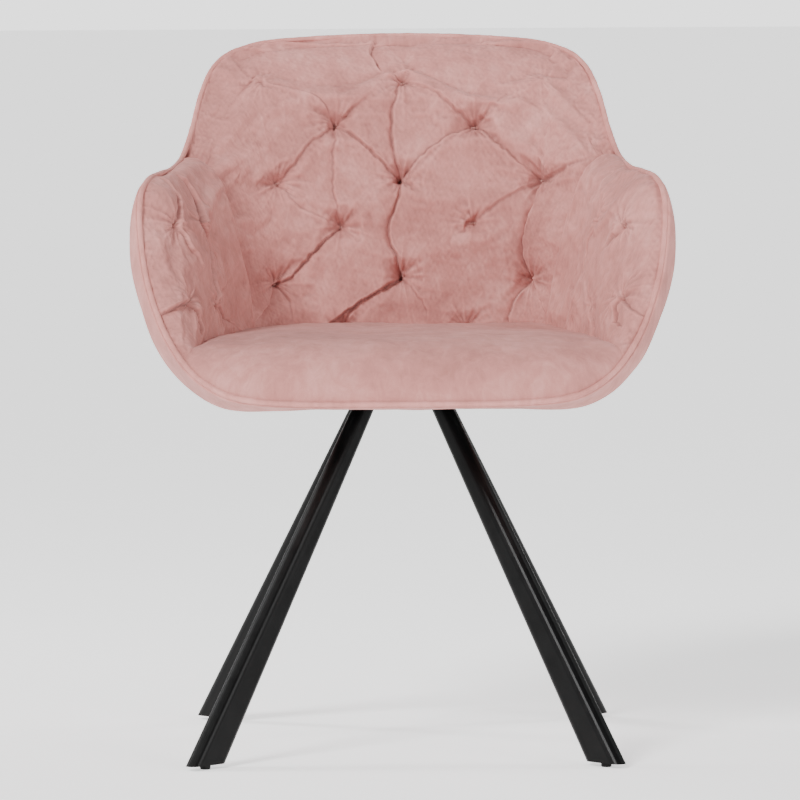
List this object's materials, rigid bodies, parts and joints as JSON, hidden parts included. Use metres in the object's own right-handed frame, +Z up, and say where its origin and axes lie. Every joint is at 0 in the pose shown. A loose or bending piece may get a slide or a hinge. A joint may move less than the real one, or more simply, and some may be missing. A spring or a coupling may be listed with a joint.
{
  "type": "upholstered swivel armchair",
  "caption": "Upholstered bucket armchair with splayed arms, piped rim and tufted back, on a swivel plate with tapered steel tube legs.",
  "frame": {"origin": "on the floor, on the swivel axis, below the middle of the chair", "axes": "+Z up, the chair faces -Y, +X to the right when looking along +Y at its front"},
  "size_m": [0.621, 0.5884, 0.8327],
  "materials": {
    "velvet": "matte",
    "foam": "matte",
    "shell_plastic": "matte",
    "plywood": "matte",
    "black_steel": "satin",
    "zinc_steel": "satin",
    "black_plastic": "satin",
    "black_felt": "matte"
  },
  "bodies": {
    "base": {"glide_front_left": "black_plastic", "glide_front_right": "black_plastic", "glide_rear_left": "black_plastic", "glide_rear_right": "black_plastic", "hub_plate": "black_steel", "leg_front_left": "black_steel", "leg_front_right": "black_steel", "leg_plug_front_left": "black_plastic", "leg_plug_front_right": "black_plastic", "leg_plug_rear_left": "black_plastic", "leg_plug_rear_right": "black_plastic", "leg_rear_left": "black_steel", "leg_rear_right": "black_steel", "lower_race": "zinc_steel", "pivot_pin": "zinc_steel"},
    "bearing_cage": {"ball_cage": "black_plastic", "ball_1": "zinc_steel", "ball_2": "zinc_steel", "ball_3": "zinc_steel", "ball_4": "zinc_steel", "ball_5": "zinc_steel", "ball_6": "zinc_steel", "ball_7": "zinc_steel", "ball_8": "zinc_steel"},
    "seat": {"arm_left_cover": "velvet", "arm_left_foam": "foam", "arm_right_cover": "velvet", "arm_right_foam": "foam", "back_cover": "velvet", "back_foam": "foam", "bolt_washer_1": "zinc_steel", "bolt_washer_2": "zinc_steel", "bolt_washer_3": "zinc_steel", "bolt_washer_4": "zinc_steel", "bucket_shell": "shell_plastic", "dust_cover": "black_felt", "outer_cover": "velvet", "pivot_nut": "zinc_steel", "pivot_washer": "zinc_steel", "plate_bolt_1": "zinc_steel", "plate_bolt_2": "zinc_steel", "plate_bolt_3": "zinc_steel", "plate_bolt_4": "zinc_steel", "rim_piping": "velvet", "seat_board": "plywood", "seat_cover": "velvet", "seat_foam": "foam", "swivel_top_plate": "black_steel", "t_nut_1": "zinc_steel", "t_nut_2": "zinc_steel", "t_nut_3": "zinc_steel", "t_nut_4": "zinc_steel", "upper_race": "zinc_steel"}
  },
  "joints": [
    {"name": "seat_swivel", "type": "hinge", "parent": "base", "child": "seat", "pos_m": [0, 0, 0.4], "axis": [0, 0, 1], "continuous": true},
    {"name": "cage_spin", "type": "hinge", "parent": "base", "child": "bearing_cage", "pos_m": [0, 0, 0.4], "axis": [0, 0, 1], "continuous": true}
  ],
  "couplings": [
    {"joint": "cage_spin", "follows": "seat_swivel", "ratio": 0.5}
  ]
}
